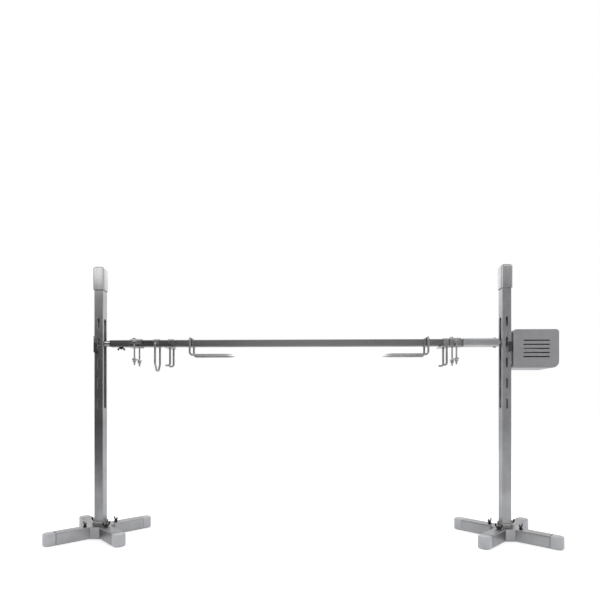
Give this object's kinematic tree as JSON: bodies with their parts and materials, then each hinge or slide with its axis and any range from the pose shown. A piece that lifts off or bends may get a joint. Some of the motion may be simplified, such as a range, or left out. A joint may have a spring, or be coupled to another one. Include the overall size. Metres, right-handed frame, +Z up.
{
  "type": "spit roaster",
  "caption": "Motor-driven spit roaster: slotted square posts on crossed feet, a square spit with forks and leg holders, and a louvred motor housing on the right post.",
  "frame": {"origin": "on the ground, under the middle of the whole roaster", "axes": "X along the spit from the bearing to the motor, Y to the back, Z up"},
  "size_m": [2.2042, 0.3468, 1.207],
  "materials": {
    "stainless": "Satin stainless steel with its grain along each tube",
    "spit_steel": "Darker drawn stainless steel, lightly heat-stained",
    "zinc": "Bright plated fasteners and turned parts",
    "silver_plastic": "Silver-grey moulded plastic, half gloss",
    "housing_steel": "Grey half-gloss paint on drawn steel sheet",
    "black_plastic": "Black moulded plastic, fine grain",
    "bronze": "Plain sintered bronze",
    "cast_aluminium": "As-cast aluminium, dull"
  },
  "bodies": {
    "stands": {"left_post": "stainless", "left_post_cap": "stainless", "left_hub": "stainless", "right_post": "stainless", "right_post_cap": "stainless", "right_hub": "stainless", "left_front_left_arm": "stainless", "left_front_right_arm": "stainless", "left_back_left_arm": "stainless", "left_back_right_arm": "stainless", "right_front_left_arm": "stainless", "right_front_right_arm": "stainless", "right_back_left_arm": "stainless", "right_back_right_arm": "stainless", "left_front_left_end_cap": "silver_plastic", "left_front_right_end_cap": "silver_plastic", "left_back_left_end_cap": "silver_plastic", "left_back_right_end_cap": "silver_plastic", "right_front_left_end_cap": "silver_plastic", "right_front_right_end_cap": "silver_plastic", "right_back_left_end_cap": "silver_plastic", "right_back_right_end_cap": "silver_plastic"},
    "bearing_carriage": {"bearing_saddle": "stainless", "bearing_carrier": "zinc", "bearing_bush": "bronze"},
    "motor_carriage": {"motor_saddle": "stainless", "motor_housing": "housing_steel", "back_cover": "housing_steel", "power_inlet": "black_plastic", "switch_bezel": "black_plastic", "gearbox": "cast_aluminium", "drive_motor": "cast_aluminium"},
    "spit": {"spit_tube": "spit_steel", "spit_journal": "zinc", "drive_socket": "spit_steel", "drive_shaft": "zinc", "socket_cross_bolt": "zinc"},
    "left_lock_lever": {"left_lock_lever": "black_plastic"},
    "right_lock_lever": {"right_lock_lever": "black_plastic"},
    "power_switch": {"power_switch": "black_plastic"},
    "journal_lock_screw": {"journal_lock_screw": "zinc"},
    "left_fork": {"left_fork": "stainless"},
    "right_fork": {"right_fork": "stainless"},
    "left_fork_screw": {"left_fork_screw": "zinc"},
    "right_fork_screw": {"right_fork_screw": "zinc"},
    "left_leg_clamp": {"left_leg_clamp": "stainless"},
    "right_leg_clamp": {"right_leg_clamp": "stainless"},
    "left_clamp_bar": {"left_clamp_bar": "zinc"},
    "right_clamp_bar": {"right_clamp_bar": "zinc"},
    "left_leg_hook": {"left_leg_hook": "stainless"},
    "right_leg_hook": {"right_leg_hook": "stainless"},
    "leg_loop": {"leg_loop": "stainless"},
    "left_front_left_wing_bolt": {"left_front_left_wing_bolt": "zinc"},
    "left_front_right_wing_bolt": {"left_front_right_wing_bolt": "zinc"},
    "left_back_left_wing_bolt": {"left_back_left_wing_bolt": "zinc"},
    "left_back_right_wing_bolt": {"left_back_right_wing_bolt": "zinc"},
    "right_front_left_wing_bolt": {"right_front_left_wing_bolt": "zinc"},
    "right_front_right_wing_bolt": {"right_front_right_wing_bolt": "zinc"},
    "right_back_left_wing_bolt": {"right_back_left_wing_bolt": "zinc"},
    "right_back_right_wing_bolt": {"right_back_right_wing_bolt": "zinc"}
  },
  "joints": [
    {"name": "motor_lift", "type": "slide", "parent": "stands", "child": "motor_carriage", "axis": [0, 0, 1], "range_m": [-0.27, 0.09]},
    {"name": "bearing_lift", "type": "slide", "parent": "stands", "child": "bearing_carriage", "axis": [0, 0, 1], "range_m": [-0.27, 0.09]},
    {"name": "spit_spin", "type": "hinge", "parent": "motor_carriage", "child": "spit", "pos_m": [-0.02613, 0, 0.864], "axis": [1, 0, 0], "continuous": true},
    {"name": "left_fork_slide", "type": "slide", "parent": "spit", "child": "left_fork", "axis": [1, 0, 0], "range_m": [-0.02, 0.25]},
    {"name": "right_fork_slide", "type": "slide", "parent": "spit", "child": "right_fork", "axis": [1, 0, 0], "range_m": [-0.25, 0.01]},
    {"name": "left_clamp_slide", "type": "slide", "parent": "spit", "child": "left_leg_clamp", "axis": [1, 0, 0], "range_m": [-0.025, 0.02]},
    {"name": "right_clamp_slide", "type": "slide", "parent": "spit", "child": "right_leg_clamp", "axis": [1, 0, 0], "range_m": [0, 0.008]},
    {"name": "left_hook_slide", "type": "slide", "parent": "spit", "child": "left_leg_hook", "axis": [1, 0, 0], "range_m": [-0.01, 0.03]},
    {"name": "right_hook_slide", "type": "slide", "parent": "spit", "child": "right_leg_hook", "axis": [1, 0, 0], "range_m": [-0.025, 0.003]},
    {"name": "loop_slide", "type": "slide", "parent": "spit", "child": "leg_loop", "axis": [1, 0, 0], "range_m": [-0.02, 0.01]},
    {"name": "left_bar_rise", "type": "slide", "parent": "left_leg_clamp", "child": "left_clamp_bar", "axis": [0, 0, 1], "range_m": [-0.01, 0.045]},
    {"name": "right_bar_rise", "type": "slide", "parent": "right_leg_clamp", "child": "right_clamp_bar", "axis": [0, 0, 1], "range_m": [-0.01, 0.045]},
    {"name": "left_fork_screw_turn", "type": "hinge", "parent": "left_fork", "child": "left_fork_screw", "pos_m": [-0.51563, 0.0187, 0.864], "axis": [0, 1, 0], "range_deg": [0, 180]},
    {"name": "right_fork_screw_turn", "type": "hinge", "parent": "right_fork", "child": "right_fork_screw", "pos_m": [0.53037, 0.0187, 0.864], "axis": [0, 1, 0], "range_deg": [0, 180]},
    {"name": "journal_lock_turn", "type": "hinge", "parent": "spit", "child": "journal_lock_screw", "pos_m": [-0.83513, 0, 0.8487], "axis": [0, 0, -1], "range_deg": [0, 180]},
    {"name": "left_lever_turn", "type": "hinge", "parent": "bearing_carriage", "child": "left_lock_lever", "pos_m": [-0.94013, -0.0234, 0.86], "axis": [0, -1, 0], "range_deg": [0, 90]},
    {"name": "right_lever_turn", "type": "hinge", "parent": "motor_carriage", "child": "right_lock_lever", "pos_m": [0.88787, -0.0234, 0.86], "axis": [0, 1, 0], "range_deg": [0, 90]},
    {"name": "switch_rock", "type": "hinge", "parent": "motor_carriage", "child": "power_switch", "pos_m": [1.09707, 0.0165, 0.8595], "axis": [0, -1, 0], "range_deg": [0, 20]},
    {"name": "left_front_left_bolt_turn", "type": "hinge", "parent": "stands", "child": "left_front_left_wing_bolt", "pos_m": [-0.97601, -0.04738, 0.0523], "axis": [0, 0, 1], "range_deg": [0, 180]},
    {"name": "left_front_right_bolt_turn", "type": "hinge", "parent": "stands", "child": "left_front_right_wing_bolt", "pos_m": [-0.88125, -0.04738, 0.0523], "axis": [0, 0, 1], "range_deg": [0, 180]},
    {"name": "left_back_left_bolt_turn", "type": "hinge", "parent": "stands", "child": "left_back_left_wing_bolt", "pos_m": [-0.97601, 0.04738, 0.0523], "axis": [0, 0, 1], "range_deg": [0, 180]},
    {"name": "left_back_right_bolt_turn", "type": "hinge", "parent": "stands", "child": "left_back_right_wing_bolt", "pos_m": [-0.88125, 0.04738, 0.0523], "axis": [0, 0, 1], "range_deg": [0, 180]},
    {"name": "right_front_left_bolt_turn", "type": "hinge", "parent": "stands", "child": "right_front_left_wing_bolt", "pos_m": [0.82899, -0.04738, 0.0523], "axis": [0, 0, 1], "range_deg": [0, 180]},
    {"name": "right_front_right_bolt_turn", "type": "hinge", "parent": "stands", "child": "right_front_right_wing_bolt", "pos_m": [0.92375, -0.04738, 0.0523], "axis": [0, 0, 1], "range_deg": [0, 180]},
    {"name": "right_back_left_bolt_turn", "type": "hinge", "parent": "stands", "child": "right_back_left_wing_bolt", "pos_m": [0.82899, 0.04738, 0.0523], "axis": [0, 0, 1], "range_deg": [0, 180]},
    {"name": "right_back_right_bolt_turn", "type": "hinge", "parent": "stands", "child": "right_back_right_wing_bolt", "pos_m": [0.92375, 0.04738, 0.0523], "axis": [0, 0, 1], "range_deg": [0, 180]}
  ],
  "couplings": [
    {"joint": "bearing_lift", "follows": "motor_lift", "ratio": 1}
  ]
}
